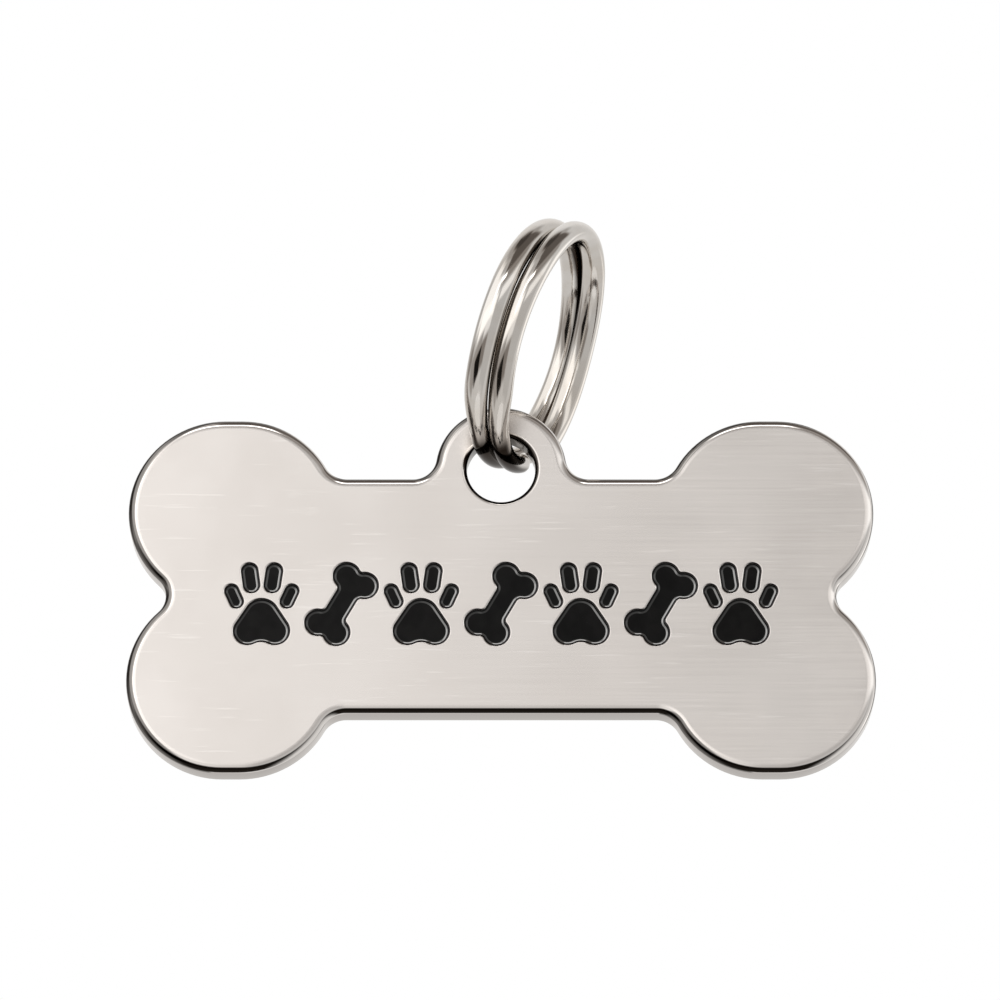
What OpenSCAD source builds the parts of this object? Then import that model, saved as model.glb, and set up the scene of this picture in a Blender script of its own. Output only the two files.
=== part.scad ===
// Bone-shaped pet tag with enamelled motifs, hanging on a two-turn split ring.
// Millimetres, +Z up, the front of the plate faces -Y.
// The origin is the inner top of the ring, where the collar's own loop bears.

/* [Plate] */
// Width of the bone over its lobes
plate_w = 50; // [47:0.5:56]
// Height of the bone over its lobes, without the tab
plate_h = 24.6; // [23.6:0.2:27]
// Thickness of the plate
plate_t = 2; // [1.4:0.1:2.4]
// Height of the straight waist between the lobes
waist_h = 16.4; // [15.4:0.2:17.4]
// Radius of each rounded lobe
lobe_r = 6.45; // [6:0.05:7]
// Straight crown between the two arcs of a lobe
lobe_flat = 1.15; // [0.4:0.05:2]
// Radius of the fillets between the waist and the lobes
waist_fillet_r = 1.7; // [1:0.1:2.4]
// Radius of the notch in the middle of each end
notch_r = 1.5; // [0.8:0.1:2.2]

/* [Tab and hole] */
// Outer radius of the tab round the hole
tab_r = 4.4; // [4:0.1:5]
// Height of the hole's centre above the middle of the plate
hole_rise = 8.85; // [8.4:0.05:9.6]
// Radius of the fillets between the tab and the waist
tab_fillet_r = 1.6; // [0.8:0.1:2.4]
// Diameter of the hole
hole_d = 4.6; // [4.5:0.1:5.4]
// Radius that rounds both mouths of the hole
hole_rim_r = 0.4; // [0.2:0.05:0.6]

/* [Enamel motifs] */
// Bare steel at each end of the row of motifs
row_margin = 6.5; // [5.5:0.1:8]
// Bare steel between one motif and the next
motif_gap = 0.35; // [0.3:0.05:0.9]
// Distance of the row of motifs below the middle of the plate
motif_drop = 0.65; // [0:0.05:1.5]
// Turn of the bone motifs, in degrees
bone_turn = 60; // [60:5:90]
// Depth of the pockets cut for the enamel
pocket_d = 0.5; // [0.35:0.05:0.8]
// Thickness of the enamel on the floor of its pocket
enamel_t = 0.35; // [0.2:0.05:0.5]

/* [Split ring] */
// Diameter of the ring, measured at the middle of the wire
ring_d = 15.76; // [14.5:0.1:20]
// Diameter of the wire
wire_d = 1.32; // [1:0.02:1.36]
// Gap between the two turns
turn_gap = 0.42; // [0.41:0.01:0.5]
// How far the front turn is drawn in at each side, which makes it oval
turn_nip = 0.8; // [0:0.1:1]
// Angle where the first turn starts to cross over, from the ring's lowest point to the back
jog_start = 22; // [20:1:30]
// Angle that the crossing takes, with the two wire ends at its limits
jog_sweep = 28; // [26:1:40]
// Least gap left round the wires in the hole, before its mouths are rounded
hang_clear = 0.06; // [0.04:0.01:0.1]

/* [Pose of the ring on the tag] */
// Turn of the ring's axis from the plate's width towards the front
ring_yaw = 15.8; // [10:0.2:22]
// Tilt of the ring's axis below the level
ring_tilt = 19.4; // [10:0.2:24]
// Angle of the oval turn's long axis in the ring's plane
ring_roll = 12.2; // [0:0.2:20]
// Angle along the ring where the tag hangs, from its lowest point to the back
hang_angle = 8; // [4:0.5:12]

/* [Hidden] */
$fn = 96;
overrun = 0.5;
// How far an arc runs into the arc or the straight side that it meets, so that the two cross
arc_bite = 0.003;
steel = [0.82, 0.80, 0.77];
nickel = [0.76, 0.74, 0.72];
black = [0.04, 0.04, 0.05];

// Ring
ring_r = ring_d / 2;
wire_r = wire_d / 2;
turn_pitch = wire_d + turn_gap;
wire_sides = 12;
wire_stations = 108;
end_round = wire_r / 3;

// Directions of the ring's axis, its upper end and its back, in the part's frame
ring_axis = [cos(ring_tilt) * cos(ring_yaw), -cos(ring_tilt) * sin(ring_yaw), -sin(ring_tilt)];
ring_up = [sin(ring_tilt) * cos(ring_yaw), -sin(ring_tilt) * sin(ring_yaw), cos(ring_tilt)];
ring_back = [sin(ring_yaw), cos(ring_yaw), 0];
ring_centre = -ring_up * (ring_r - wire_r);

// Where the wires pass the hole: the far ends of the two wires are the ends of a chord of the hole
hole_r = hole_d / 2;
hang_run = ring_back * cos(hang_angle) + ring_up * sin(hang_angle);
hang_slope = hang_run / hang_run[1];
half_chord = ring_axis * turn_pitch / 2 + hang_slope * plate_t / 2;
chord_x = half_chord[0];
chord_z = half_chord[2];
chord_half_length = norm([chord_x, chord_z]);
wire_sag = pow(plate_t / 2, 2) / ring_d;
wire_reach = hole_r - wire_r / hang_run[1] - hang_clear - wire_sag;
hang_lift = sqrt(pow(wire_reach, 2) - pow(chord_half_length, 2));
hang_point = ring_centre + (ring_back * sin(hang_angle) - ring_up * cos(hang_angle)) * ring_r;
hole_centre = hang_point - [-chord_z, 0, chord_x] * hang_lift / chord_half_length
              - [0, plate_t / 2, 0];

// Plate
waist_z = waist_h / 2;
lobe_z = plate_h / 2 - lobe_r;
lobe_outer_x = plate_w / 2 - lobe_r;
lobe_inner_x = lobe_outer_x - lobe_flat;
notch_x = lobe_outer_x + sqrt(pow(lobe_r + notch_r - arc_bite, 2) - pow(lobe_z, 2));
waist_fillet_z = waist_z + waist_fillet_r - arc_bite;
waist_fillet_x = lobe_inner_x
    - sqrt(pow(lobe_r + waist_fillet_r - arc_bite, 2) - pow(waist_fillet_z - lobe_z, 2));
tab_fillet_z = waist_z + tab_fillet_r - arc_bite;
tab_fillet_x = sqrt(pow(tab_r + tab_fillet_r - arc_bite, 2) - pow(tab_fillet_z - hole_rise, 2));

// Motifs: seven in a row, each as wide as the row leaves it, and drawn in shares of its height
motif_count = 7;
motif_width_share = 0.82;
motif_pitch = (plate_w - row_margin * 2 + motif_gap) / motif_count;
motif_h = (motif_pitch - motif_gap) / motif_width_share;
// The paw's pad: circles as [x, z, radius], and the corners of what lies between them
pad_shares = [[0, -0.13, 0.19], [0.15, -0.305, 0.16], [-0.15, -0.305, 0.16]];
pad_fill_shares = [[-0.15, -0.08], [0.15, -0.08], [0.28, -0.28], [0.155, -0.44], [-0.155, -0.44],
                   [-0.28, -0.28]];
// The paw's right toes: [x, z, length between the end arcs, radius, turn in degrees]
toe_shares = [[0.125, 0.30, 0.16, 0.092, -8], [0.305, 0.09, 0.13, 0.078, -24]];
// The bone: its knobs' [x, z, radius], and half the height of its bar
knob_shares = [0.31, 0.115, 0.15];
bar_half_share = 0.125;

// Flat shapes are drawn in X and Y, t high, as solids of their own that then join
module disc(at, r, t) {
    translate(at) cylinder(h = t, r = r);
}

module slab(points, t) {
    linear_extrude(t) polygon(points);
}

// The web between two arcs, with the fillet's circle cut out of it
module web(points, fillet_at, r, t) {
    difference() {
        slab(points, t);
        translate([0, 0, -overrun]) disc(fillet_at, r, t + 2 * overrun);
    }
}

module bone_quarter(t) {
    disc([lobe_inner_x, lobe_z], lobe_r, t);
    disc([lobe_outer_x, lobe_z], lobe_r, t);
    translate([lobe_inner_x, 0, 0]) cube([lobe_flat, lobe_z + lobe_r, t]);
    web([[lobe_inner_x, lobe_z], [waist_fillet_x, waist_fillet_z], [waist_fillet_x, 0], [lobe_inner_x, 0]],
        [waist_fillet_x, waist_fillet_z], waist_fillet_r, t);
    web([[lobe_inner_x, 0], [lobe_inner_x, lobe_z], [lobe_outer_x, lobe_z], [notch_x, 0]],
        [notch_x, 0], notch_r, t);
}

module tab(t) {
    disc([0, hole_rise], tab_r, t);
    for (m = [0, 1]) mirror([m, 0, 0])
        web([[0, hole_rise], [tab_fillet_x, tab_fillet_z], [tab_fillet_x, 0], [0, 0]],
            [tab_fillet_x, tab_fillet_z], tab_fillet_r, t);
}

module plate_blank(t) {
    for (mx = [0, 1]) for (mz = [0, 1]) mirror([mx, 0, 0]) mirror([0, mz, 0]) bone_quarter(t);
    translate([-lobe_inner_x, -waist_z, 0]) cube([lobe_inner_x * 2, waist_h, t]);
    tab(t);
}

// The hole as a solid along +Z from the front face, with both mouths rounded
module hole_cutter() {
    translate([0, 0, -overrun]) cylinder(h = plate_t + 2 * overrun, r = hole_r);
    for (m = [0, 1]) translate([0, 0, m * plate_t]) mirror([0, 0, m]) {
        translate([0, 0, -overrun]) cylinder(h = overrun, r = hole_r + hole_rim_r);
        rotate_extrude() difference() {
            square([hole_r + hole_rim_r, hole_rim_r]);
            translate([hole_r + hole_rim_r, hole_rim_r]) circle(hole_rim_r);
        }
    }
}

module capsule(length, r, t) {
    translate([arc_bite - r, -length / 2, 0]) cube([(r - arc_bite) * 2, length, t]);
    for (s = [-1, 1]) disc([0, s * length / 2], r, t);
}

module paw(t) {
    for (p = pad_shares) disc([p[0], p[1]] * motif_h, p[2] * motif_h, t);
    slab(pad_fill_shares * motif_h, t);
    for (s = toe_shares) for (m = [0, 1]) mirror([m, 0, 0])
        translate([s[0], s[1]] * motif_h) rotate(s[4]) capsule(s[2] * motif_h, s[3] * motif_h, t);
}

module bone(t) {
    rotate(bone_turn) {
        for (sx = [-1, 1]) for (sz = [-1, 1])
            disc([sx * knob_shares[0], sz * knob_shares[1]] * motif_h, knob_shares[2] * motif_h, t);
        translate([-knob_shares[0], -bar_half_share] * motif_h)
            cube([knob_shares[0] * motif_h * 2, bar_half_share * motif_h * 2, t]);
    }
}

// Motif number i of the row: paws at the even places, bones between them
module motif(i, t) {
    translate([(i - (motif_count - 1) / 2) * motif_pitch, -motif_drop])
        if (i % 2 == 0) paw(t);
        else bone(t);
}

// Stands a shape, drawn flat with its front face down at zero, up on the plate's front
module on_plate() {
    translate(hole_centre - [0, 0, hole_rise]) rotate([90, 0, 0]) mirror([0, 0, 1]) children();
}

module tag_plate() {
    color(steel)
        on_plate() difference() {
            plate_blank(plate_t);
            translate([0, hole_rise, 0]) hole_cutter();
            for (i = [0:motif_count - 1]) translate([0, 0, -overrun]) motif(i, overrun + pocket_d);
        }
}

module enamel(i) {
    color(black)
        on_plate() translate([0, 0, pocket_d - enamel_t]) motif(i, enamel_t);
}

// The wire's route in the ring's own frame: X along the axis, Y to the back, Z up.
// The angle t runs from the start of the first turn to the end of the second.
route_start = jog_start + jog_sweep;
route_end = jog_start + 720;
function eased(u) = u <= 0 ? 0 : u >= 1 ? 1 : u * u * (3 - 2 * u);
function crossing(t) = eased((t - 360 - jog_start) / jog_sweep);
function turn_radius(t) = ring_r - crossing(t) * turn_nip * pow(sin(t - ring_roll), 2);
function route(t) = [(crossing(t) - 0.5) * turn_pitch, turn_radius(t) * sin(t), -turn_radius(t) * cos(t)];
function unit(v) = v / norm(v);

// One ring of points round the wire at angle t, with radius r
small_angle = 0.5;
function section(t, r) =
    let (run = unit(route(t + small_angle) - route(t - small_angle)),
         out = [0, sin(t), -cos(t)],
         side = unit(cross(run, out)),
         up = cross(side, run))
    [for (k = [0:wire_sides - 1]) let (a = 360 * k / wire_sides)
        route(t) + (side * cos(a) + up * sin(a)) * r];

// The ends are drawn in over the last end_round of wire
end_angle = end_round / ring_r * 180 / PI;
stations = [for (i = [0:wire_stations])
    route_start + end_angle + (route_end - route_start - 2 * end_angle) * i / wire_stations];
wire_points = concat(section(route_start, wire_r - end_round),
                     [for (t = stations) each section(t, wire_r)],
                     section(route_end, wire_r - end_round));
ring_count = len(stations) + 2;
wire_faces = concat(
    [[for (k = [0:wire_sides - 1]) k]],
    [for (i = [0:ring_count - 2]) for (k = [0:wire_sides - 1])
        let (n = (k + 1) % wire_sides, a = i * wire_sides, b = a + wire_sides)
        each [[a + k, b + k, b + n], [a + k, b + n, a + n]]],
    [[for (k = [wire_sides - 1:-1:0]) (ring_count - 1) * wire_sides + k]]);

// Least gap of the wire to itself, over pairs of stations more than a third of a turn apart
least_gap = min([for (a = stations) for (b = stations) if (b - a > 120) norm(route(a) - route(b))]) - wire_d;
echo(least_gap_between_turns = least_gap);
echo(hole_centre = hole_centre, ring_centre = ring_centre);

module split_ring() {
    color(nickel)
        translate(ring_centre) rotate([0, 0, -ring_yaw]) rotate([0, ring_tilt, 0])
            polyhedron(points = wire_points, faces = wire_faces, convexity = 6);
}

tag_plate();
split_ring();
enamel(0);  // enamel_paw_1
enamel(2);  // enamel_paw_2
enamel(4);  // enamel_paw_3
enamel(6);  // enamel_paw_4
enamel(1);  // enamel_bone_1
enamel(3);  // enamel_bone_2
enamel(5);  // enamel_bone_3
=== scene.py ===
# A bone-shaped pet tag with black enamel motifs, hanging on a two-turn split ring.
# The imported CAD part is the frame, and every node of it gets a finished skin here.
# The frame is in metres, +Z up, and the plate's front faces -Y. Lengths below are millimetres, and a
# mesh goes over to metres when it is done.
import math

import bmesh
import bpy
from mathutils import Matrix, Vector


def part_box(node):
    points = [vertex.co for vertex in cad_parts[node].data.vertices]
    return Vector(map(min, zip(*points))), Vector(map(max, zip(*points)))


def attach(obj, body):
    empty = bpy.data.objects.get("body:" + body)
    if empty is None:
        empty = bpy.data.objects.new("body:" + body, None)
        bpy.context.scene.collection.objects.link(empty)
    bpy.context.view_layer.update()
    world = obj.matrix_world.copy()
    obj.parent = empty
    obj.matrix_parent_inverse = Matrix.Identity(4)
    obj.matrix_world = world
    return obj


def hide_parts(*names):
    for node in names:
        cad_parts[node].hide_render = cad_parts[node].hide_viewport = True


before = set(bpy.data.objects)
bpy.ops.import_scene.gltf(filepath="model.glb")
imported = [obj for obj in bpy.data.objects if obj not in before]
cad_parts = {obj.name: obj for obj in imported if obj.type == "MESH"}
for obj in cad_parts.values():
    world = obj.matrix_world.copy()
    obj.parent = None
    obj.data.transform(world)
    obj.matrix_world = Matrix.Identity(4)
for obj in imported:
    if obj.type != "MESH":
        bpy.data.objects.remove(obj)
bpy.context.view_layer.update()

MM = 0.001
FRONT = Vector((0, -1, 0))
TAU = 2 * math.pi

# The plate, as in the part's source
PLATE_H = 24.6
WAIST_H = 16.4
LOBE_R, LOBE_FLAT = 6.45, 1.15
WAIST_FILLET_R, TAB_FILLET_R, NOTCH_R = 1.7, 1.6, 1.5
TAB_R = 4.4
HOLE_RISE, HOLE_D = 8.85, 4.6

# The motifs, as in the part's source, with their shapes in shares of their height
ROW_MARGIN, MOTIF_GAP, MOTIF_DROP = 6.5, 0.35, 0.65
MOTIF_COUNT = 7
MOTIF_WIDTH_SHARE = 0.82
BONE_TURN = math.radians(60)
POCKET_D = 0.5
PAD_TOP_SHARES = (0, -0.13, 0.19)
PAD_SIDE_SHARES = (0.15, -0.305, 0.16)
PAD_DIP_SHARE = 0.18
TOE_SHARES = ((0.125, 0.30, 0.16, 0.092, -8), (0.305, 0.09, 0.13, 0.078, -24))
KNOB_SHARES = (0.31, 0.115, 0.15)
BAR_HALF_SHARE = 0.125
KNOB_FILLET_SHARE, KNOB_NOTCH_SHARE = 0.06, 0.045

# The wire and its route, as in the part's source
RING_D, WIRE_D = 15.76, 1.32
TURN_NIP = 0.8
JOG_START, JOG_SWEEP = 22, 28
RING_YAW, RING_TILT, RING_ROLL = 15.8, 19.4, 12.2

# The lips, which only the skin has, as bends (radius, last angle) from the face to the wall
RIM_BENDS = ((1.3, 14), (0.45, 90))
BACK_BENDS = ((0.15, 90),)
HOLE_BENDS = ((0.5, 12), (0.3, 90))
POCKET_BENDS = ((0.2, 12), (0.08, 90))
ENAMEL_BENDS = ((0.15, 9), (1.4, 14), (0.2, 50))
BEND_STEP = 9
MERGE_DIST = 0.0005
LIP_FLAT = 0.012
ARC_STEP = math.radians(4)
ENAMEL_GAP = 0.003
ENAMEL_DEPTH = 0.2

# The wire's skin: round in the hole, and an oval that closes the gap between the turns elsewhere,
# from one angle off the hole to the next
AXIAL_R, RADIAL_R, SKIN_GAP = 0.83, 0.70, 0.03
OVAL_FROM, OVAL_AT = 22, 52
TOP_RISE, SECOND_RISE = 0.2, 0.25
WIRE_SIDES, STATION_STEP = 32, 2.0
END_ROUND, END_STEPS = 0.22, 4

# Painted shade on the wire: the angle off the hole over which it is darkened where it passes through
# the tag, how squarely a place has to face the other turn to be darkened, and the angles where the
# far side's wider painted shadow comes and goes
HOLE_SHADE_SWEEP, HOLE_SHADE_FADE = 26, 10
VALLEY_SHADE_NEAR, VALLEY_SHADE_FAR = 0.94, 0.45
VALLEY_SHADE_EDGE = 0.06
FAR_FROM, FAR_TO = (60, 100), (166, 186)

# The view: the camera stands low and looks up at the tag
CAMERA_PITCH = 17.5
CAMERA_DISTANCE = 490
VIEW_WIDTH = 66.84
SENSOR_W = 36
AIM_FROM_PLATE = Vector((-0.07, -1.92, 6.02))
FLOOR_R, FLOOR_DROP, FLOOR_SIDES = 220, 600, 96

# Colours of the finishes, among them a painted highlight and painted shades on the steel and painted
# shade on the nickel
STEEL_DEEP, STEEL_PALE = (0.72, 0.682, 0.655, 1), (0.84, 0.805, 0.781, 1)
STEEL_SMUDGED, STEEL_HAIRLINE = (0.72, 0.678, 0.65, 1), (0.95, 0.93, 0.91, 1)
# The second colour on this line is a painted highlight
STEEL_STREAK, STEEL_PAINTED_HIGHLIGHT = (0.97, 0.95, 0.93, 1), (0.93, 0.90, 0.875, 1)
# The steel colours on these two lines are painted shade
STEEL_PAINTED_EDGE_SHADE, STEEL_PAINTED_RIM_SHADE = (0.24, 0.228, 0.218, 1), (0.2, 0.19, 0.18, 1)
STEEL_WALL_SHADE, STEEL_PAINTED_SHADE = (0.60, 0.568, 0.545, 1), (0.014, 0.011, 0.009, 1)
NICKEL_DEEP, NICKEL_PALE = (0.74, 0.70, 0.655, 1), (0.80, 0.775, 0.745, 1)
NICKEL_SMUDGED, NICKEL_HAIRLINE = (0.66, 0.60, 0.53, 1), (0.88, 0.87, 0.85, 1)
# The nickel colour on this line is painted shade
NICKEL_PAINTED_SHADE = (0.03, 0.02, 0.014, 1)
ENAMEL_DEEP, ENAMEL_PALE = (0.0022, 0.0021, 0.0020, 1), (0.0045, 0.0042, 0.0040, 1)
ENAMEL_PIT = (0.01, 0.0095, 0.009, 1)
PAPER_DEEP, PAPER_PALE = (0.86, 0.855, 0.85, 1), (0.9, 0.895, 0.89, 1)
WHITE = (1.0, 1.0, 1.0, 1)

# The patterns, on coordinates in millimetres: how they are drawn out, and where a noise counts
TONE_LIMITS = (0.35, 0.65)
BANDS_PER_MM = 0.12
STREAK_STRETCH, STREAK_LIMITS = (0.25, 4.5, 4.5), (0.62, 0.76)
HAIRLINE_TURNS, HAIRLINES_PER_MM = (0.02, -0.05, 0.16), 1.3
HAIRLINE_STRETCH, HAIRLINE_WIDTH = (0.1, 3.5, 3.5), 0.012
PATCHES_PER_MM, PATCH_LIMITS = 0.5, (0.56, 0.68)
SMUDGES_PER_MM, SMUDGE_LIMITS = 0.35, (0.42, 0.68)
WAVES_PER_MM, WAVE_STRETCH = 0.9, (0.3, 0.8, 0.8)
PITS_PER_MM, PIT_LIMITS = 9.0, (0.72, 0.8)
FIBRES_PER_M = 900.0

# How strongly each finish takes them: shares of its colours, roughness, and bumps as (strength, mm)
STEEL_GRAIN, STEEL_MARKS = {"Lines per mm": 7.0, "Stretch": 90.0}, 0.5
BAND_TONE, LINE_TONE, STREAK_SHARE = 0.3, 0.4, 0.22
STEEL_SMUDGE_SHARE, STEEL_HAIRLINE_SHARE = 0.25, 0.08
SATIN, SATIN_SPREAD, POLISH, SMUDGE_DULLS = 0.17, 0.1, 0.05, 0.03
STEEL_ANISOTROPY = 0.4
LINES_ON_BENDS, STEEL_HAIRLINE_DEPTH = 0.15, 0.12
STEEL_BUMP = (0.22, 0.004)
NICKEL_GRAIN, NICKEL_MARKS = {"Lines per mm": 9.0, "Stretch": 40.0}, 1.4
NICKEL_SMUDGE_SHARE, NICKEL_HAIRLINE_SHARE = 0.35, 0.25
NICKEL_POLISH, NICKEL_LINES_DULL, NICKEL_SMUDGE_DULLS = 0.06, 0.03, 0.05
NICKEL_LINE_DEPTH, NICKEL_HAIRLINE_DEPTH = 0.07, 0.06
NICKEL_BUMP = (0.4, 0.03)
ENAMEL_MARKS, PIT_SHARE = 0.8, 0.5
ENAMEL_POLISH, ENAMEL_SMUDGE_DULLS, PITS_DULL, PIT_DEPTH = 0.045, 0.05, 0.15, 0.1
ENAMEL_SPECULAR, FACET_IOR, FACET_ROUGHNESS = 0.12, 2.5, 0.04
ENAMEL_BUMP = (0.3, 0.02)
PAPER_ROUGHNESS, PAPER_SPECULAR = 0.9, 0.1

# Where the plate's finish changes and its painted highlight and painted shades lie, as limits of how
# far its surface faces the front (1 on the flats, 0 on the wall), to the right or up; a mask runs
# from its first limit to its second
FLAT_FACING = (0.985, 0.9998)
# A painted highlight on the bends that face right
HIGHLIGHT_FACING, HIGHLIGHT_SIDE = (0.995, 0.96), (-0.02, 0.1)
# A painted dark line of shade on the bends that face left
EDGE_SHADE_FACING, EDGE_SHADE_SIDE = (0.9915, 0.984), (-0.08, -0.14)
# A painted dark line of shade on the rim where it faces right
RIM_SHADE_FACING, RIM_SHADE_SIDE = (0.08, 0.2), (0.74, 0.86)
# Painted shade on the wall
WALL_SHADE_FACING = (0.3, 0.12)
# Painted shade along the bends, lighter on the bends that face down and to the left, and in the mouth
# of the hole
BEND_SHADE_LEAN = 0.25
BEND_SHADE_FRONT, BEND_SHADE_BACK = (0.92, 0.84), (0.16, 0.28)
BEND_SHADE_FACING, BEND_SHADE_SIDE = (0.12, 0.3), (0.5, 0.2)
LIT_BEND_SIDE, LIT_BEND_UP, LIT_BEND_SHARE = (-0.25, -0.6), (0.05, -0.25), 0.8
MOUTH_SHADE = (0.2, 0.1)
# The narrow facet round each fill of enamel, and how far up or to the left it faces to shine
FACET_FRONT, FACET_BACK = (0.994, 0.989), (0.955, 0.968)
FACET_LEAN, FACET_SHINE = (-0.1, 0.08), (0.35, 1.0)


# ---- Shapes ------------------------------------------------------------------------------------

def flat(angle):
    """The direction at an angle in the plate's plane, from +X towards +Z."""
    return Vector((math.cos(angle), 0, math.sin(angle)))


def contact(a, b):
    """The outward angle where a clockwise run leaves circle a for circle b, each (x, z, radius)."""
    dx, dz = b[0] - a[0], b[1] - a[1]
    lean = (a[2] - b[2]) / math.hypot(dx, dz)
    return math.atan2(dz, dx) + math.acos(max(-1, min(1, lean)))


def run_arcs(circles):
    """The arcs (circle, first angle, turn) of the clockwise run round circles (x, z, radius).

    A radius under zero marks a circle that the run passes on its other side, as a fillet.
    """
    if len(circles) == 1:
        return [(circles[0], 0, TAU)]
    arcs = []
    for i, circle in enumerate(circles):
        first = contact(circles[i - 1], circle)
        last = contact(circle, circles[(i + 1) % len(circles)])
        side = math.copysign(1, circle[2])
        arcs.append((circle, first, side * ((side * (first - last)) % TAU)))
    return arcs


def draw_run(bm, circles, inset, depth):
    """Draws the run round circles, inset in its plane and sunk behind the face.

    Each vertex keeps the direction out of the run in the layer "outward".
    """
    outward = bm.verts.layers.float_vector.new("outward")
    first = last = None
    for (x, z, radius), start, turn in run_arcs(circles):
        centre, reach, drawn = Vector((x, depth, z)), radius - inset, len(bm.verts)
        vert = bm.verts.new(centre + flat(start) * reach)
        if last:
            bm.edges.new((last, vert))
        steps = max(1, math.ceil(abs(turn) / ARC_STEP))
        spun = bmesh.ops.spin(bm, geom=[vert], cent=centre, axis=(0, 1, 0), angle=turn, steps=steps)
        first = first or vert
        last = next(g for g in spun["geom_last"] if isinstance(g, bmesh.types.BMVert))
        for vert in bm.verts[:][drawn:]:
            vert[outward] = (vert.co - centre) / reach
    bm.edges.new((last, first))
    bmesh.ops.remove_doubles(bm, verts=bm.verts, dist=MERGE_DIST)


def lip(bends):
    """Points (reach, depth) of a lip that bends from the face to its wall, which is at reach zero."""
    points = [(0.0, 0.0)]
    start = 0
    for radius, end in bends:
        steps = max(2, math.ceil((end - start) / BEND_STEP))
        for k in range(1, steps + 1):
            a = math.radians(start + (end - start) * (k - 1) / steps)
            b = math.radians(start + (end - start) * k / steps)
            reach, depth = points[-1]
            points.append((reach - radius * (math.sin(b) - math.sin(a)),
                           depth + radius * (math.cos(a) - math.cos(b))))
        start = end
    wall = points[-1][0]
    return [(LIP_FLAT - wall, 0.0)] + [(reach - wall, depth) for reach, depth in points]


def wrap(circles, profile):
    """Skins a run at every (inset, depth) of a profile, open at both ends."""
    bm = bmesh.new()
    draw_run(bm, circles, *profile[0])
    outward = bm.verts.layers.float_vector["outward"]
    rim = bm.edges[:]
    for (inset, depth), (next_inset, next_depth) in zip(profile, profile[1:]):
        grown = bmesh.ops.extrude_edge_only(bm, edges=rim)["geom"]
        rim = [g for g in grown if isinstance(g, bmesh.types.BMEdge) and g.is_boundary]
        for vert in (g for g in grown if isinstance(g, bmesh.types.BMVert)):
            vert.co += vert[outward] * (inset - next_inset) + Vector((0, next_depth - depth, 0))
    return bm


def cap(bm, depth):
    """Fills the flat between all the open edges at a depth."""
    rims = [e for e in bm.edges
            if e.is_boundary and all(abs(v.co.y - depth) < MERGE_DIST for v in e.verts)]
    bmesh.ops.triangle_fill(bm, edges=rims, use_beauty=True, normal=FRONT)


def gather(bm, part):
    """Adds a part's mesh to a mesh, and frees the part."""
    mesh = bpy.data.meshes.new("part")
    part.to_mesh(mesh)
    part.free()
    bm.from_mesh(mesh)
    bpy.data.meshes.remove(mesh)


def turned(circles, angle):
    """Circles turned about the middle, from +X towards +Z."""
    c, s = math.cos(angle), math.sin(angle)
    return [(x * c - z * s, x * s + z * c, r) for x, z, r in circles]


def moved(circles, x, z, scale=1):
    """Circles brought to a scale about the middle and then moved."""
    return [(cx * scale + x, cz * scale + z, r * scale) for cx, cz, r in circles]


def touching(circle, radius, z):
    """The x to the right of a circle where a circle of the given radius at height z touches it."""
    return math.sqrt((circle[2] + radius) ** 2 - (circle[1] - z) ** 2)


def plate_run(width):
    """The plate's outline with its tab: clockwise, from the tab."""
    waist_z = WAIST_H / 2
    lobe_z = PLATE_H / 2 - LOBE_R
    outer_x = width / 2 - LOBE_R
    inner_x = outer_x - LOBE_FLAT
    tab = (0, HOLE_RISE, TAB_R)
    fillet_z, waist_fillet_z = waist_z + TAB_FILLET_R, waist_z + WAIST_FILLET_R
    fillet_x = touching(tab, TAB_FILLET_R, fillet_z)
    waist_fillet_x = inner_x - touching((0, lobe_z, LOBE_R), WAIST_FILLET_R, waist_fillet_z)
    notch_x = outer_x + touching((0, lobe_z, LOBE_R), NOTCH_R, 0)
    right = [(waist_fillet_x, waist_fillet_z, -WAIST_FILLET_R), (inner_x, lobe_z, LOBE_R),
             (outer_x, lobe_z, LOBE_R), (notch_x, 0, -NOTCH_R), (outer_x, -lobe_z, LOBE_R),
             (inner_x, -lobe_z, LOBE_R), (waist_fillet_x, -waist_fillet_z, -WAIST_FILLET_R)]
    left = [(-x, z, r) for x, z, r in reversed(right)]
    return ([tab, (fillet_x, fillet_z, -TAB_FILLET_R)] + right + left
            + [(-fillet_x, fillet_z, -TAB_FILLET_R)])


def paw_runs():
    """The outlines of a paw's pad and four toes, in shares of its height."""
    side_x, side_z, side_r = PAD_SIDE_SHARES
    dip_z = side_z - math.sqrt((side_r + PAD_DIP_SHARE) ** 2 - side_x ** 2)
    runs = [[PAD_TOP_SHARES, PAD_SIDE_SHARES, (0, dip_z, -PAD_DIP_SHARE), (-side_x, side_z, side_r)]]
    for x, z, length, radius, turn in TOE_SHARES:
        ends = turned([(0, length / 2, radius), (0, -length / 2, radius)], math.radians(turn))
        toe = moved(ends, x, z)
        runs += [toe, [(-ex, ez, r) for ex, ez, r in toe]]
    return runs


def bone_runs():
    """The outline of a bone, in shares of its height."""
    x, z, r = KNOB_SHARES
    fillet_z = BAR_HALF_SHARE + KNOB_FILLET_SHARE
    fillet_x = x - touching(KNOB_SHARES, KNOB_FILLET_SHARE, fillet_z)
    notch_x = x + touching(KNOB_SHARES, KNOB_NOTCH_SHARE, 0)
    right = [(fillet_x, fillet_z, -KNOB_FILLET_SHARE), (x, z, r), (notch_x, 0, -KNOB_NOTCH_SHARE),
             (x, -z, r), (fillet_x, -fillet_z, -KNOB_FILLET_SHARE)]
    left = [(-cx, cz, cr) for cx, cz, cr in reversed(right)]
    return [turned(right + left, BONE_TURN)]


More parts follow.
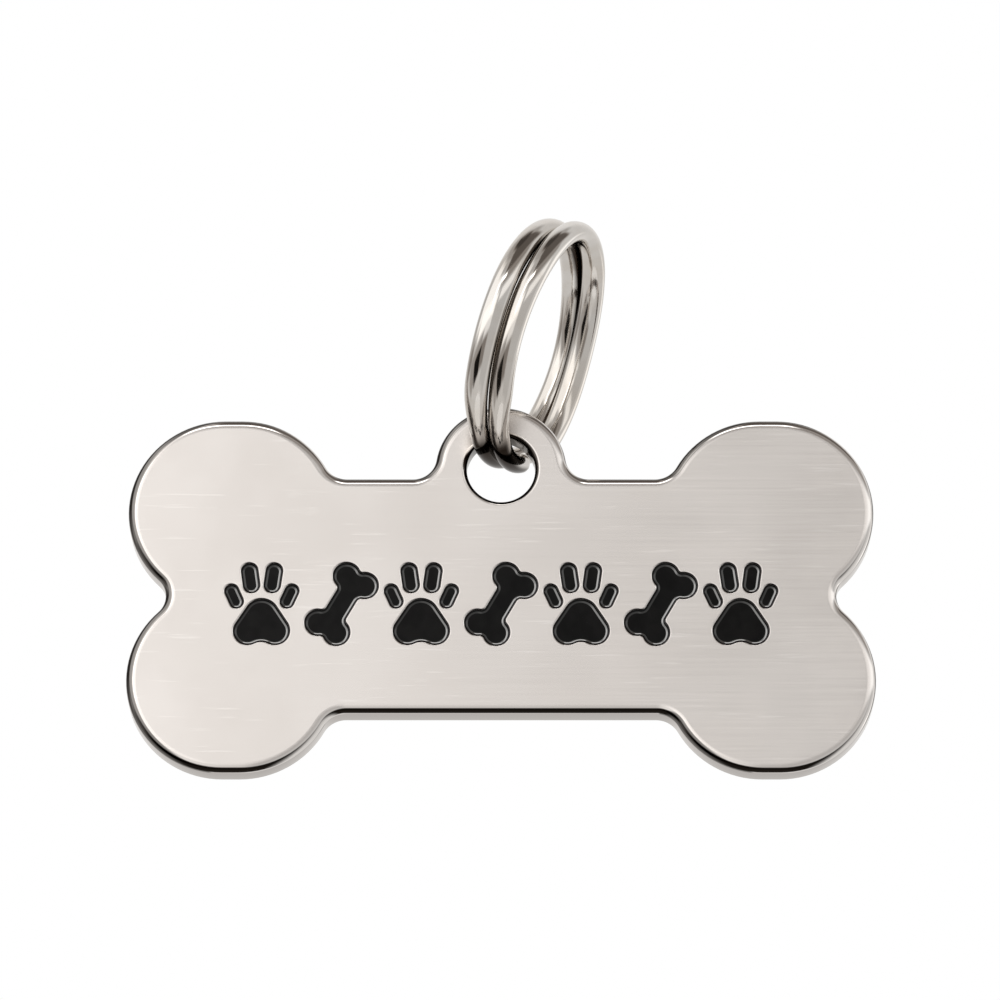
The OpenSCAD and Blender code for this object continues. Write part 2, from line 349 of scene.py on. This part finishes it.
def motif_runs(width):
    """For each motif of the row its enamel node and its outlines on the plate."""
    pitch = (width - ROW_MARGIN * 2 + MOTIF_GAP) / MOTIF_COUNT
    height = (pitch - MOTIF_GAP) / MOTIF_WIDTH_SHARE
    motifs = []
    for i in range(MOTIF_COUNT):
        kind, shapes = ("paw", paw_runs()) if i % 2 == 0 else ("bone", bone_runs())
        x = (i - (MOTIF_COUNT - 1) / 2) * pitch
        placed = [moved(shape, x, -MOTIF_DROP, height) for shape in shapes]
        motifs.append((f"enamel_{kind}_{i // 2 + 1}", placed))
    return motifs


def finish_mesh(bm, name, place, material, ridden, replaced):
    """Turns the faces outwards, moves the mesh to its place in metres and makes it a piece."""
    bmesh.ops.recalc_face_normals(bm, faces=bm.faces)
    bmesh.ops.transform(bm, matrix=Matrix.Translation(place) @ Matrix.Scale(MM, 4), verts=bm.verts)
    for face in bm.faces:
        face.smooth = True
    mesh = bpy.data.meshes.new(name)
    bm.to_mesh(mesh)
    bm.free()
    mesh.materials.append(material)
    piece = bpy.data.objects.new(name, mesh)
    bpy.context.scene.collection.objects.link(piece)
    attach(piece, ridden)
    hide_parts(replaced)
    return piece


# ---- Materials ---------------------------------------------------------------------------------

class Wiring:
    """Adds nodes to a tree, with their inputs given as values or as other nodes' outputs."""

    def __init__(self, tree):
        self.tree = tree

    def add(self, kind, inputs=None, output=0, **settings):
        node = self.tree.nodes.new(kind)
        for name, value in settings.items():
            setattr(node, name, value)
        for key, value in (inputs or {}).items():
            if isinstance(value, bpy.types.NodeSocket):
                self.tree.links.new(value, node.inputs[key])
            else:
                node.inputs[key].default_value = value
        return node.outputs[output]

    def math(self, operation, *values):
        return self.add("ShaderNodeMath", dict(enumerate(values)), operation=operation)

    def vector(self, operation, *values):
        return self.add("ShaderNodeVectorMath", dict(enumerate(values)), operation=operation)

    def ramp(self, value, low, high, to_low=0.0, to_high=1.0):
        """A smooth step of a value between two limits."""
        return self.add("ShaderNodeMapRange", {"Value": value, "From Min": low, "From Max": high,
                                               "To Min": to_low, "To Max": to_high},
                        interpolation_type="SMOOTHSTEP")

    def mix(self, factor, a, b):
        """A mix of two colours."""
        return self.add("ShaderNodeMix", {0: factor, 6: a, 7: b}, output=2, data_type="RGBA")

    def noise(self, vector, scale, detail=2.0, rough=0.5):
        return self.add("ShaderNodeTexNoise", {"Vector": vector, "Scale": scale, "Detail": detail,
                                               "Roughness": rough})

    def bump(self, height, strength, distance):
        """A normal from a height, with the height's distance in millimetres."""
        return self.add("ShaderNodeBump", {"Height": height, "Strength": strength,
                                           "Distance": distance * MM})


def new_group(name, inputs, outputs):
    """A shader node group with named sockets. Returns it, its wiring and its input node's outputs."""
    group = bpy.data.node_groups.new(name, "ShaderNodeTree")
    for label, kind, value in inputs:
        socket = group.interface.new_socket(label, in_out="INPUT", socket_type=kind)
        if value is not None:
            socket.default_value = value
    for label, kind in outputs:
        group.interface.new_socket(label, in_out="OUTPUT", socket_type=kind)
    wiring = Wiring(group)
    return group, wiring, group.nodes.new("NodeGroupInput").outputs


def close_group(group, values):
    """Adds a group's output node and links it to the values given by label."""
    output = group.nodes.new("NodeGroupOutput")
    for label, value in values.items():
        group.links.new(value, output.inputs[label])


def use_group(wiring, group, inputs):
    """Places a group and returns its outputs."""
    node = wiring.tree.nodes.new("ShaderNodeGroup")
    node.node_tree = group
    for key, value in inputs.items():
        if isinstance(value, bpy.types.NodeSocket):
            wiring.tree.links.new(value, node.inputs[key])
        else:
            node.inputs[key].default_value = value
    return node.outputs


def grain_group():
    """Fine lines along the first axis of a vector in millimetres, broad bands, and a few streaks."""
    group, w, given = new_group("metal_grain", [
        ("Vector", "NodeSocketVector", None), ("Lines per mm", "NodeSocketFloat", 6.0),
        ("Stretch", "NodeSocketFloat", 60.0)],
        [("Lines", "NodeSocketFloat"), ("Bands", "NodeSocketFloat"), ("Streaks", "NodeSocketFloat")])
    fineness = given["Lines per mm"]
    along = w.math("DIVIDE", fineness, given["Stretch"])
    size = w.add("ShaderNodeCombineXYZ", {0: along, 1: fineness, 2: fineness})
    lines = w.noise(w.vector("MULTIPLY", given["Vector"], size), 1.0, detail=3.0, rough=0.6)
    bands = w.noise(given["Vector"], BANDS_PER_MM, detail=1.0)
    drawn_out = w.vector("MULTIPLY", given["Vector"], STREAK_STRETCH)
    streaks = w.ramp(w.noise(drawn_out, 1.0), *STREAK_LIMITS)
    close_group(group, {"Lines": lines, "Bands": bands, "Streaks": streaks})
    return group


def marks_group():
    """Hairline marks at odd angles and soft smudges from handling, as masks."""
    group, w, given = new_group("handling_marks", [
        ("Vector", "NodeSocketVector", None), ("Size", "NodeSocketFloat", 1.0)],
        [("Hairlines", "NodeSocketFloat"), ("Smudges", "NodeSocketFloat")])
    spot = w.vector("SCALE", given["Vector"])
    w.tree.links.new(given["Size"], spot.node.inputs["Scale"])
    hairlines = None
    for turn in HAIRLINE_TURNS:
        lay = w.add("ShaderNodeVectorRotate", {"Vector": spot, "Angle": turn}, rotation_type="Y_AXIS")
        stretched = w.vector("MULTIPLY", lay, HAIRLINE_STRETCH)
        thin = w.noise(stretched, HAIRLINES_PER_MM, detail=0.0)
        line = w.ramp(w.math("ABSOLUTE", w.math("SUBTRACT", thin, 0.5)), HAIRLINE_WIDTH, 0.0)
        elsewhere = w.vector("ADD", lay, (turn * 9, 3.0, 5.0))
        here = w.ramp(w.noise(elsewhere, PATCHES_PER_MM, detail=1.0), *PATCH_LIMITS)
        line = w.math("MULTIPLY", line, here)
        hairlines = line if hairlines is None else w.math("MAXIMUM", hairlines, line)
    smudges = w.ramp(w.noise(spot, SMUDGES_PER_MM, detail=3.0, rough=0.6), *SMUDGE_LIMITS)
    close_group(group, {"Hairlines": hairlines, "Smudges": smudges})
    return group


def new_material(name):
    """A material with a Principled shader. Returns it, its wiring and the shader's inputs."""
    material = bpy.data.materials.new(name)
    material.use_nodes = True
    shader = material.node_tree.nodes["Principled BSDF"]
    return material, Wiring(material.node_tree), shader.inputs


def join(wiring, socket, value):
    """Links an output to a shader's input."""
    wiring.tree.links.new(value, socket)


def millimetres(wiring, coords):
    """A material's Object coordinates in millimetres."""
    return wiring.add("ShaderNodeVectorMath", {0: coords.outputs["Object"], "Scale": 1 / MM},
                      operation="SCALE")


def both(wiring, *masks):
    """Where all of the masks hold."""
    joined = masks[0]
    for mask in masks[1:]:
        joined = wiring.math("MULTIPLY", joined, mask)
    return joined


def plate_painted_shade(w, side, facing, up, spot, hole):
    """Painted shade along the plate's bends, lighter on those that face down and to the left, and in
    the mouth of its hole.
    """
    # Painted shade along the bends
    sunk = w.math("MULTIPLY_ADD", up, BEND_SHADE_LEAN, facing)
    painted_shade = both(w, w.ramp(sunk, *BEND_SHADE_FRONT), w.ramp(sunk, *BEND_SHADE_BACK),
                 w.ramp(facing, *BEND_SHADE_FACING), w.ramp(side, *BEND_SHADE_SIDE))
    # Less painted shade on the bends that face down and to the left
    shade_adjustment = both(w, w.ramp(side, *LIT_BEND_SIDE), w.ramp(up, *LIT_BEND_UP))
    painted_shade = w.math("MULTIPLY", painted_shade, w.math("MULTIPLY_ADD", shade_adjustment, -LIT_BEND_SHARE, 1.0))
    # Painted shade in the mouth of the hole
    from_axis = w.vector("SUBTRACT", spot, tuple(hole))
    across, _, rise = w.add("ShaderNodeSeparateXYZ", {0: from_axis}).node.outputs
    reach = w.math("SQRT", w.math("MULTIPLY_ADD", across, across, w.math("MULTIPLY", rise, rise)))
    mouth = w.ramp(reach, *(HOLE_D / 2 + limit for limit in MOUTH_SHADE))
    return w.math("MAXIMUM", painted_shade, mouth)


def brushed_steel(grain, marks, hole):
    """Steel, brushed along the plate's length on its flats and polished on its bends.

    Painted shade lies along the bends, on the wall and in the mouth of the hole, whose middle is
    given in millimetres, and a painted highlight on the bends that face right.
    """
    material, w, shader = new_material("brushed_steel_finish")
    coords = w.tree.nodes.new("ShaderNodeTexCoord")
    spot = millimetres(w, coords)
    lines, bands, streaks = use_group(w, grain, {"Vector": spot, **STEEL_GRAIN})[:3]
    hairlines, smudges = use_group(w, marks, {"Vector": spot, "Size": STEEL_MARKS})[:2]
    side, front, up = w.add("ShaderNodeSeparateXYZ", {0: coords.outputs["Normal"]}).node.outputs
    facing = w.math("ABSOLUTE", front)
    flatness = w.ramp(facing, *FLAT_FACING)
    tone = w.math("MULTIPLY", w.ramp(bands, *TONE_LIMITS), BAND_TONE)
    tone = w.math("ADD", tone, w.math("MULTIPLY", lines, LINE_TONE))
    colour = w.mix(tone, STEEL_DEEP, STEEL_PALE)
    colour = w.mix(w.math("MULTIPLY", smudges, STEEL_SMUDGE_SHARE), colour, STEEL_SMUDGED)
    colour = w.mix(w.math("MULTIPLY", hairlines, STEEL_HAIRLINE_SHARE), colour, STEEL_HAIRLINE)
    colour = w.mix(w.math("MULTIPLY", streaks, STREAK_SHARE), colour, STEEL_STREAK)
    # A painted highlight on the bends that face right
    painted_highlight = both(w, w.ramp(facing, *HIGHLIGHT_FACING), w.ramp(side, *HIGHLIGHT_SIDE))
    colour = w.mix(painted_highlight, colour, STEEL_PAINTED_HIGHLIGHT)
    # A painted dark line of shade on the bends that face left
    edge_shade = both(w, w.ramp(facing, *EDGE_SHADE_FACING), w.ramp(side, *EDGE_SHADE_SIDE))
    colour = w.mix(edge_shade, colour, STEEL_PAINTED_EDGE_SHADE)
    # Painted shade on the wall
    colour = w.mix(w.ramp(facing, *WALL_SHADE_FACING), colour, STEEL_WALL_SHADE)
    # A painted dark line of shade on the rim where it faces right
    rim = both(w, w.ramp(side, *RIM_SHADE_SIDE), w.ramp(facing, *RIM_SHADE_FACING))
    colour = w.mix(rim, colour, STEEL_PAINTED_RIM_SHADE)
    # Painted shade along the bends and in the mouth of the hole
    colour = w.mix(plate_painted_shade(w, side, facing, up, spot, hole), colour, STEEL_PAINTED_SHADE)
    join(w, shader["Base Color"], colour)
    shader["Metallic"].default_value = 1.0
    satin = w.math("MULTIPLY", w.math("SUBTRACT", lines, 0.5), SATIN_SPREAD)
    satin = w.math("ADD", SATIN, satin)
    satin = w.math("ADD", satin, w.math("MULTIPLY", smudges, SMUDGE_DULLS))
    polish = w.math("ADD", POLISH, w.math("MULTIPLY", smudges, SMUDGE_DULLS))
    rough = w.add("ShaderNodeMix", {0: flatness, 2: polish, 3: satin})
    join(w, shader["Roughness"], rough)
    shader["Anisotropic"].default_value = STEEL_ANISOTROPY
    cut = w.math("ADD", w.math("MULTIPLY", flatness, 1 - LINES_ON_BENDS), LINES_ON_BENDS)
    height = w.math("MULTIPLY", lines, cut)
    height = w.math("SUBTRACT", height, w.math("MULTIPLY", hairlines, STEEL_HAIRLINE_DEPTH))
    join(w, shader["Normal"], w.bump(height, *STEEL_BUMP))
    return material


def polished_nickel(grain, marks):
    """Bright nickel on drawn wire, with fine lines along it, the smudges and hairlines of a used
    ring, and painted shade between its turns and at the hole.
    """
    material, w, shader = new_material("polished_nickel_finish")
    drawn = w.add("ShaderNodeAttribute", attribute_name="drawn_wire", output="Vector")
    lines, bands = use_group(w, grain, {"Vector": drawn, **NICKEL_GRAIN})[:2]
    hairlines, smudges = use_group(w, marks, {"Vector": drawn, "Size": NICKEL_MARKS})[:2]
    colour = w.mix(w.ramp(bands, *TONE_LIMITS), NICKEL_DEEP, NICKEL_PALE)
    colour = w.mix(w.math("MULTIPLY", smudges, NICKEL_SMUDGE_SHARE), colour, NICKEL_SMUDGED)
    colour = w.mix(w.math("MULTIPLY", hairlines, NICKEL_HAIRLINE_SHARE), colour, NICKEL_HAIRLINE)
    # Painted shade between the turns, wider on the far side, and where the wire passes through the
    # tag's hole
    painted_shade = w.add("ShaderNodeAttribute", attribute_name="painted_shade", output="Fac")
    join(w, shader["Base Color"], w.mix(painted_shade, colour, NICKEL_PAINTED_SHADE))
    shader["Metallic"].default_value = 1.0
    rough = w.math("ADD", NICKEL_POLISH, w.math("MULTIPLY", lines, NICKEL_LINES_DULL))
    rough = w.math("ADD", rough, w.math("MULTIPLY", smudges, NICKEL_SMUDGE_DULLS))
    join(w, shader["Roughness"], rough)
    wave = w.noise(w.vector("MULTIPLY", drawn, WAVE_STRETCH), 1.0, detail=1.0)
    height = w.math("ADD", w.math("MULTIPLY", lines, NICKEL_LINE_DEPTH), wave)
    height = w.math("SUBTRACT", height, w.math("MULTIPLY", hairlines, NICKEL_HAIRLINE_DEPTH))
    join(w, shader["Normal"], w.bump(height, *NICKEL_BUMP))
    return material


def black_enamel(marks):
    """Baked black enamel: glossy, a little uneven, with dust-fine pits."""
    material, w, shader = new_material("black_enamel_finish")
    coords = w.tree.nodes.new("ShaderNodeTexCoord")
    spot = millimetres(w, coords)
    smudges = use_group(w, marks, {"Vector": spot, "Size": ENAMEL_MARKS})["Smudges"]
    uneven = w.noise(spot, WAVES_PER_MM, detail=1.0)
    pits = w.ramp(w.noise(spot, PITS_PER_MM, detail=1.0), *PIT_LIMITS)
    colour = w.mix(w.ramp(uneven, *TONE_LIMITS), ENAMEL_DEEP, ENAMEL_PALE)
    colour = w.mix(w.math("MULTIPLY", pits, PIT_SHARE), colour, ENAMEL_PIT)
    join(w, shader["Base Color"], colour)
    rough = w.math("ADD", ENAMEL_POLISH, w.math("MULTIPLY", smudges, ENAMEL_SMUDGE_DULLS))
    join(w, shader["Roughness"], w.math("ADD", rough, w.math("MULTIPLY", pits, PITS_DULL)))
    shader["Specular IOR Level"].default_value = ENAMEL_SPECULAR
    side, front, up = w.add("ShaderNodeSeparateXYZ", {0: coords.outputs["Normal"]}).node.outputs
    facing = w.math("ABSOLUTE", front)
    shine = w.ramp(w.math("SUBTRACT", up, side), *FACET_LEAN, *FACET_SHINE)
    facet = both(w, w.ramp(facing, *FACET_FRONT), w.ramp(facing, *FACET_BACK), shine)
    join(w, shader["Coat Weight"], facet)
    shader["Coat IOR"].default_value = FACET_IOR
    shader["Coat Roughness"].default_value = FACET_ROUGHNESS
    height = w.math("SUBTRACT", uneven, w.math("MULTIPLY", pits, PIT_DEPTH))
    join(w, shader["Normal"], w.bump(height, *ENAMEL_BUMP))
    return material


def floor_paper():
    """Pale matt paper, seen white by the camera."""
    material, w, shader = new_material("floor_paper")
    coords = w.tree.nodes.new("ShaderNodeTexCoord")
    fibre = w.noise(coords.outputs["Object"], FIBRES_PER_M, detail=3.0)
    join(w, shader["Base Color"], w.mix(fibre, PAPER_DEEP, PAPER_PALE))
    shader["Roughness"].default_value = PAPER_ROUGHNESS
    shader["Specular IOR Level"].default_value = PAPER_SPECULAR
    return material


# ---- Studio ------------------------------------------------------------------------------------

def panel_group():
    """A soft-edged panel or flag over the light so far, between limits in degrees."""
    names = ("So far", "Azimuth", "Elevation", "Left", "Right", "Low", "High", "Soft", "Level")
    group, w, given = new_group("studio_panel", [(n, "NodeSocketFloat", 0.0) for n in names],
                                [("Light", "NodeSocketFloat")])

    def edge(value, limit, sign):
        reach = w.math("MULTIPLY", given["Soft"], sign)
        return w.ramp(value, w.math("SUBTRACT", limit, reach), w.math("ADD", limit, reach))

    mask = w.math("MULTIPLY", edge(given["Azimuth"], given["Left"], 1),
                  edge(given["Azimuth"], given["Right"], -1))
    mask = w.math("MULTIPLY", mask, edge(given["Elevation"], given["Low"], 1))
    mask = w.math("MULTIPLY", mask, edge(given["Elevation"], given["High"], -1))
    change = w.math("SUBTRACT", given["Level"], given["So far"])
    close_group(group, {"Light": w.math("MULTIPLY_ADD", mask, change, given["So far"])})
    return group


# The studio is a pale tent with panels and dark flags as (left, right, low, high, soft, level), in
# degrees, each laid over those before it. Azimuth 0 is in front of the tag, where the camera stands,
# and grows to the right in the picture. A level of 1 is white.
TENT_LEVEL = 0.67
FRONT_PANELS = (
    (-200, 200, 61, 95, 6, 0.42),
    (-16, 104, 42, 95, 7, 0.12),
    (-200, 200, 76, 95, 4, 0.06),
    (-6, 84, 29, 44, 6, 0.3),
    (-1, 74, -62, 27, 5, 0.55),
    (-1, 10, 4, 26, 3, 0.56),
    (10, 76, 11, 25, 3, 1.05),
    (-146, -100, 12, 42, 8, 0.5),
    (-122, -88, -6, 14, 6, 0.3),
    (-92, -30, -42, -4, 5, 0.38),
    (-98, -12, 14, 60, 7, 1.18),
    (-46, -10, 47, 64, 5, 0.5),
    (-72, -1, 0, 24, 4.5, 1.36),
    (-32, -1, -14, 2, 5, 0.95),
    (-32, 0, -46, -14, 6, 0.24),
    (-66, -29, -48, -18, 3, 0.01),
    (100, 132, -14, 14, 6, 1.25),
    (-26, -17, 12, 38, 3, 2.4),
    (-16, 8, 37.5, 43, 2, 3.2),
)
# Panels behind the tag, whose azimuth is taken from the middle of the back to either side
BACK_PANELS = (
    (-40, 36, -4, 74, 16, 0.84),
    (-5, 6, 12, 23, 1, 1.0),
)
TENT_TINT = (1.0, 0.982, 0.96)
SHADE_TINT = (1.0, 0.86, 0.76)
SHADE_LEVELS = (0.02, 0.6)


def light_studio():
    """The tent as the world's light. The camera and matt paper see it as plain white."""
    world = bpy.data.worlds.new("studio")
    bpy.context.scene.world = world
    world.use_nodes = True
    w = Wiring(world.node_tree)
    w.tree.nodes.clear()
    coords = w.tree.nodes.new("ShaderNodeTexCoord")
    x, y, z = w.tree.nodes.new("ShaderNodeSeparateXYZ").outputs
    w.tree.links.new(coords.outputs["Generated"], x.node.inputs[0])
    azimuth = w.math("DEGREES", w.math("ARCTAN2", x, w.math("MULTIPLY", y, -1.0)))
    elevation = w.math("DEGREES", w.math("ARCSINE", z))
    behind = w.math("SUBTRACT", 180.0, w.math("ABSOLUTE", azimuth))
    panel = panel_group()
    light = TENT_LEVEL
    for turn, panels in ((azimuth, FRONT_PANELS), (behind, BACK_PANELS)):
        for left, right, low, high, soft, level in panels:
            light = use_group(w, panel, {"So far": light, "Azimuth": turn, "Elevation": elevation,
                                         "Left": left, "Right": right, "Low": low, "High": high,
                                         "Soft": soft, "Level": level})["Light"]
    tint = w.mix(w.ramp(light, *SHADE_LEVELS), (*SHADE_TINT, 1), (*TENT_TINT, 1))
    glow = w.add("ShaderNodeCombineXYZ", {0: light, 1: light, 2: light})
    studio = w.vector("MULTIPLY", glow, tint)
    rays = w.tree.nodes.new("ShaderNodeLightPath").outputs
    seen = w.mix(rays["Is Diffuse Ray"], studio, WHITE)
    seen = w.mix(rays["Is Camera Ray"], seen, WHITE)
    shade = w.add("ShaderNodeBackground", {"Color": seen, "Strength": 1.0})
    w.tree.links.new(shade, w.tree.nodes.new("ShaderNodeOutputWorld").inputs["Surface"])


def lay_floor(material):
    """A round pale floor, well below the hanging tag."""
    bm = bmesh.new()
    bmesh.ops.create_circle(bm, cap_ends=True, radius=FLOOR_R * MM, segments=FLOOR_SIDES,
                            matrix=Matrix.Translation((0, 0, -FLOOR_DROP * MM)))
    mesh = bpy.data.meshes.new("floor")
    bm.to_mesh(mesh)
    bm.free()
    mesh.materials.append(material)
    floor = bpy.data.objects.new("floor", mesh)
    bpy.context.scene.collection.objects.link(floor)


def set_camera(aim):
    """A long lens that looks up at a point from below its level."""
    pitch = math.radians(CAMERA_PITCH)
    data = bpy.data.cameras.new("camera")
    data.sensor_width = SENSOR_W
    data.lens = SENSOR_W * CAMERA_DISTANCE / VIEW_WIDTH
    camera = bpy.data.objects.new("camera", data)
    look = Vector((0, math.cos(pitch), math.sin(pitch)))
    camera.location = aim - look * CAMERA_DISTANCE * MM
    camera.rotation_euler = (math.pi / 2 + pitch, 0, 0)
    bpy.context.scene.collection.objects.link(camera)
    bpy.context.scene.camera = camera


# ---- The wound wire ----------------------------------------------------------------------------

# An angle t along the wire is in degrees from the ring's lowest point to its back. It starts behind
# the hole in the first turn and ends 720 degrees later, in the second.

def step(value, low, high):
    """A smooth step from 0 to 1 between two limits."""
    u = max(0, min(1, (value - low) / (high - low)))
    return u * u * (3 - 2 * u)


def crossing(t):
    """How far the wire has crossed from the first turn to the second."""
    return step(t, 360 + JOG_START, 360 + JOG_START + JOG_SWEEP)


def from_hole(t):
    """How far round the ring an angle is from the hole of the tag, in degrees."""
    return abs((t + 180) % 360 - 180)


def half_widths(t):
    """Half the wire's width along the ring's axis and half its width across it."""
    oval = step(from_hole(t), OVAL_FROM, OVAL_AT)
    return WIRE_D / 2 + oval * (AXIAL_R - WIRE_D / 2), WIRE_D / 2 + oval * (RADIAL_R - WIRE_D / 2)


def route(t):
    """The wire's middle in the ring's own frame: X along the axis, Y to the back, Z up."""
    a = math.radians(t)
    axial, radial = half_widths(t)
    nip = TURN_NIP * math.sin(math.radians(t - RING_ROLL)) ** 2
    radius = (RING_D / 2 - crossing(t) * nip
              + (TOP_RISE + crossing(t) * SECOND_RISE) * max(0, -math.cos(a)) ** 4)
    apart = (axial * 2 + SKIN_GAP) * math.sqrt(1 - (nip / (radial * 2)) ** 2)
    return Vector(((crossing(t) - 0.5) * apart, radius * math.sin(a), -radius * math.cos(a)))


def painted_shade_at(t, across, outward):
    """How much painted shade the wire gets between its turns and on its outer side where it passes
    through the tag's hole.

    The place on its round is given in shares of its radius, across to the first turn's side and
    outward from the ring's middle.
    """
    # Painted shade where a place faces the other turn, wider on the far side
    faced = across * (2 * crossing(t) - 1)
    far = step(t % 360, *FAR_FROM) * (1 - step(t % 360, *FAR_TO))
    shaded_beyond = VALLEY_SHADE_NEAR - VALLEY_SHADE_FAR * far * (1 - crossing(t) / 2)
    # Painted shade on the wire's outer side where it passes through the tag's hole
    shade_adjustment = step(outward, 0.0, 0.5) * step(HOLE_SHADE_SWEEP - from_hole(t), 0, HOLE_SHADE_FADE)
    return max(step(faced, shaded_beyond, shaded_beyond + VALLEY_SHADE_EDGE * (1 + far)), shade_adjustment)


def station(t, share):
    """Puts the unit circle round the wire at angle t, at a share of the wire's full width."""
    run = (route(t + 0.5) - route(t - 0.5)).normalized()
    out = Vector((0, math.sin(math.radians(t)), -math.cos(math.radians(t))))
    side = run.cross(out).normalized()
    up = side.cross(run)
    turn = Matrix((side, up, -run)).transposed().to_4x4()
    axial, radial = half_widths(t)
    width = Matrix.Diagonal((axial * share, radial * share, share, 1))
    return Matrix.Translation(route(t)) @ turn @ width


def wind_wire(material):
    """The wire, skinned round its route from one drawn-in end to the other.

    Its attributes hold where a place is on the drawn wire, in millimetres, and its painted shade.
    """
    wire_r, ring_r = WIRE_D / 2, RING_D / 2
    first, last = JOG_START + JOG_SWEEP, JOG_START + 720
    end_sweep = math.degrees(END_ROUND / ring_r)
    bends = [math.radians(90 * k / END_STEPS) for k in range(END_STEPS + 1)]
    rounds = [(end_sweep * (1 - math.cos(b)), 1 - END_ROUND / wire_r * (1 - math.sin(b)))
              for b in bends]
    full_sweep = last - first - 2 * end_sweep
    count = math.ceil(full_sweep / STATION_STEP)
    middle = [(first + end_sweep + full_sweep * i / count, 1) for i in range(1, count)]
    stations = ([(first + sweep, share) for sweep, share in rounds] + middle
                + [(last - sweep, share) for sweep, share in reversed(rounds)])
    bm = bmesh.new()
    drawn = bm.verts.layers.float_vector.new("drawn_wire")
    # The painted shade of each vertex
    painted_shade = bm.verts.layers.float.new("painted_shade")
    before = station(*stations[0])
    ends = [bmesh.ops.create_circle(bm, segments=WIRE_SIDES, radius=1)["verts"]]
    for vert in ends[0]:
        vert[drawn] = (0, vert.co.x * wire_r, vert.co.y * wire_r)
        vert[painted_shade] = painted_shade_at(first, vert.co.x, vert.co.y)
    bmesh.ops.transform(bm, matrix=before, verts=ends[0])
    rim = bm.edges[:]
    first_rim = rim
    for t, share in stations[1:]:
        grown = bmesh.ops.extrude_edge_only(bm, edges=rim)["geom"]
        rim = [g for g in grown if isinstance(g, bmesh.types.BMEdge) and g.is_boundary]
        fresh = [g for g in grown if isinstance(g, bmesh.types.BMVert)]
        here = station(t, share)
        bmesh.ops.transform(bm, matrix=here @ before.inverted(), verts=fresh)
        along = math.radians(t - first) * ring_r
        for vert in fresh:
            vert[drawn] = (along, vert[drawn][1], vert[drawn][2])
            vert[painted_shade] = painted_shade_at(t, vert[drawn][1] / wire_r, vert[drawn][2] / wire_r)
        before = here
    for edges in (first_rim, rim):
        bmesh.ops.edgeloop_fill(bm, edges=edges)
    lean = (Matrix.Rotation(math.radians(-RING_YAW), 4, "Z")
            @ Matrix.Rotation(math.radians(RING_TILT), 4, "Y"))
    bmesh.ops.transform(bm, matrix=lean, verts=bm.verts)
    centre = lean @ Vector((0, 0, wire_r - ring_r))
    return finish_mesh(bm, "wound_wire", centre * MM, material, "ring", "split_ring")


# ---- The plate and its enamel ------------------------------------------------------------------

def make_plate(place, width, thickness, material):
    """The plate with its rounded rim, its hole and the pockets for the enamel."""
    bm = bmesh.new()
    front, back = lip(RIM_BENDS), lip(BACK_BENDS)
    profile = front + [(reach, thickness - depth) for reach, depth in reversed(back)]
    gather(bm, wrap(plate_run(width), profile))
    mouth = lip(HOLE_BENDS)
    profile = ([(-reach, depth) for reach, depth in mouth]
               + [(-reach, thickness - depth) for reach, depth in reversed(mouth)])
    gather(bm, wrap([(0, HOLE_RISE, HOLE_D / 2)], profile))
    rim = [(-reach, depth) for reach, depth in lip(POCKET_BENDS)] + [(0, POCKET_D)]
    for _, shapes in motif_runs(width):
        for shape in shapes:
            pocket = wrap(shape, rim)
            cap(pocket, POCKET_D)
            gather(bm, pocket)
    cap(bm, 0)
    cap(bm, thickness)
    return finish_mesh(bm, "plate_skin", place, material, "tag", "tag_plate")


def fill_motif(name, shapes, place, material):
    """Enamel in its pockets: level in the middle, and bevelled along their walls."""
    bm = bmesh.new()
    border = [(reach, ENAMEL_DEPTH - rise) for reach, rise in lip(ENAMEL_BENDS)]
    profile = [(0, POCKET_D)] + border[::-1]
    for shape in shapes:
        part = wrap(shape, [(inset + ENAMEL_GAP, depth) for inset, depth in profile])
        cap(part, POCKET_D)
        cap(part, ENAMEL_DEPTH)
        gather(bm, part)
    return finish_mesh(bm, name.replace("enamel", "fill"), place, material, "tag", name)


low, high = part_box("tag_plate")
plate_w, plate_t = (high[0] - low[0]) / MM, (high[1] - low[1]) / MM
plate_place = Vector(((low[0] + high[0]) / 2, low[1], low[2] + PLATE_H / 2 * MM))

set_camera(plate_place + AIM_FROM_PLATE * MM)
metal_grain, handling_marks = grain_group(), marks_group()
steel = brushed_steel(metal_grain, handling_marks, plate_place / MM + Vector((0, 0, HOLE_RISE)))
nickel = polished_nickel(metal_grain, handling_marks)
enamel = black_enamel(handling_marks)

make_plate(plate_place, plate_w, plate_t, steel)
wind_wire(nickel)
for motif_name, motif_shapes in motif_runs(plate_w):
    fill_motif(motif_name, motif_shapes, plate_place, enamel)

light_studio()
lay_floor(floor_paper())
bpy.context.scene.view_settings.view_transform = "Standard"
